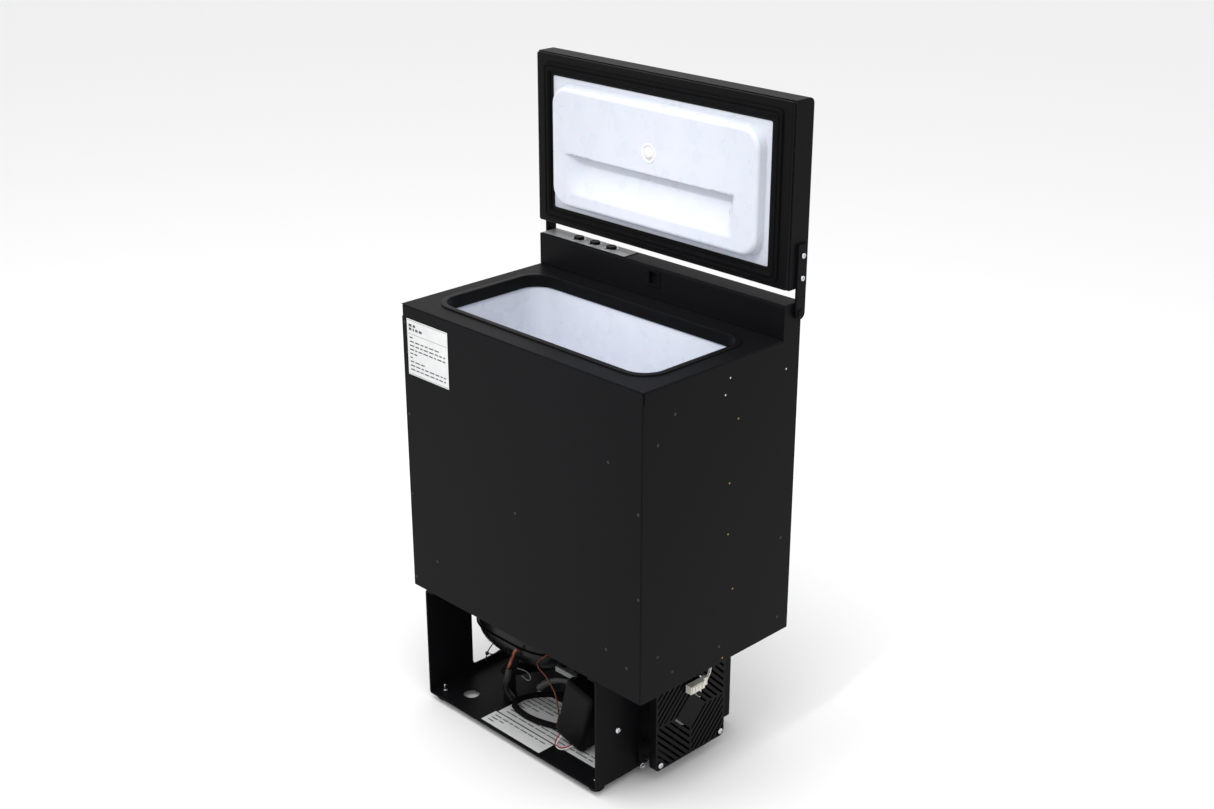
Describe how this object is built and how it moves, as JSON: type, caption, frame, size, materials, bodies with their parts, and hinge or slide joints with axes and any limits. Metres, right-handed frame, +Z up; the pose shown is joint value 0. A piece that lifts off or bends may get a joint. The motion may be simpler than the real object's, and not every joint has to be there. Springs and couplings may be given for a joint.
{
  "type": "top-opening compressor chest freezer",
  "caption": "Compact top-opening compressor chest freezer: black sheet-metal cabinet, white tub, hinged lid on side arms, rear control rail, and an open tray with compressor set and side fan.",
  "frame": {"origin": "on the floor under the middle of the object's bounding box, with the lid open", "axes": "+Z up; the front looks along -Y; +X to the right seen from the front, where the fan is"},
  "size_m": [0.4142, 0.2576, 0.8015],
  "materials": {
    "black_powder_coat": "satin black powder coat on sheet steel",
    "white_liner": "semi-gloss white formed plastic",
    "black_plastic": "fine satin moulded plastic",
    "black_rubber": "matt rubber",
    "aluminium": "mill finish",
    "insulation_foam": "rigid polyurethane foam",
    "compressor_paint": "gloss black enamel on drawn steel",
    "copper": "drawn copper tube",
    "zinc_steel": "bright zinc plated steel",
    "label_paper": "white printed film",
    "grey_strip": "light grey overlay film",
    "circuit_board": "green solder mask",
    "clear_lens": "frosted lamp diffuser"
  },
  "bodies": {
    "cabinet": {"front_panel": "black_powder_coat", "left_side_panel": "black_powder_coat", "right_side_panel": "black_powder_coat", "back_panel": "black_powder_coat", "bottom_panel": "black_powder_coat", "top_panel": "black_powder_coat", "rear_rail": "black_powder_coat", "inner_liner": "white_liner", "opening_trim": "black_plastic", "evaporator_plate": "aluminium", "foam_insulation": "insulation_foam", "base_tray": "black_powder_coat", "foot_front_left": "black_rubber", "foot_front_right": "black_rubber", "foot_rear_left": "black_rubber", "foot_rear_right": "black_rubber", "compressor_shell": "compressor_paint", "compressor_plate": "black_powder_coat", "compressor_mount_1": "black_rubber", "compressor_mount_2": "black_rubber", "compressor_mount_3": "black_rubber", "terminal_cover": "black_plastic", "electronic_unit": "black_plastic", "condenser_core": "black_powder_coat", "filter_drier": "copper", "discharge_line": "copper", "liquid_line": "copper", "suction_line": "copper", "capillary_tube": "copper", "process_stub": "copper", "wiring_loom": "black_rubber", "fan_frame": "black_plastic", "fan_guard": "black_plastic", "fan_screw_1": "zinc_steel", "fan_screw_2": "zinc_steel", "fan_screw_3": "zinc_steel", "fan_screw_4": "zinc_steel", "bracket_screw": "zinc_steel", "control_strip": "grey_strip", "control_board": "circuit_board", "lid_switch": "black_plastic", "rating_label": "label_paper", "hinge_pivot_left": "black_powder_coat", "hinge_pivot_right": "black_powder_coat"},
    "lid": {"lid_outer_shell": "black_powder_coat", "lid_foam": "insulation_foam", "lid_inner_liner": "white_liner", "lid_frame": "black_plastic", "lid_gasket": "black_rubber", "lamp_lens": "clear_lens", "hinge_arm_left": "black_powder_coat", "hinge_arm_right": "black_powder_coat", "arm_screw_left_1": "zinc_steel", "arm_screw_left_2": "zinc_steel", "arm_screw_right_1": "zinc_steel", "arm_screw_right_2": "zinc_steel"},
    "fan": {"fan_rotor": "black_plastic"},
    "button_1": {"button_1": "black_plastic"},
    "button_2": {"button_2": "black_plastic"},
    "button_3": {"button_3": "black_plastic"}
  },
  "joints": [
    {"name": "lid_hinge", "type": "hinge", "parent": "cabinet", "child": "lid", "pos_m": [0, 0.1168, 0.561], "axis": [1, 0, 0], "range_deg": [0, 90]},
    {"name": "fan_spin", "type": "hinge", "parent": "cabinet", "child": "fan", "pos_m": [0.1413, -0.0012, 0.078], "axis": [1, 0, 0], "continuous": true},
    {"name": "button_1_press", "type": "slide", "parent": "cabinet", "child": "button_1", "axis": [0, 0, -1], "range_m": [0, 0.0015], "stiffness_N_per_m": 400, "springref_m": -0.0005},
    {"name": "button_2_press", "type": "slide", "parent": "cabinet", "child": "button_2", "axis": [0, 0, -1], "range_m": [0, 0.0015], "stiffness_N_per_m": 400, "springref_m": -0.0005},
    {"name": "button_3_press", "type": "slide", "parent": "cabinet", "child": "button_3", "axis": [0, 0, -1], "range_m": [0, 0.0015], "stiffness_N_per_m": 400, "springref_m": -0.0005}
  ]
}
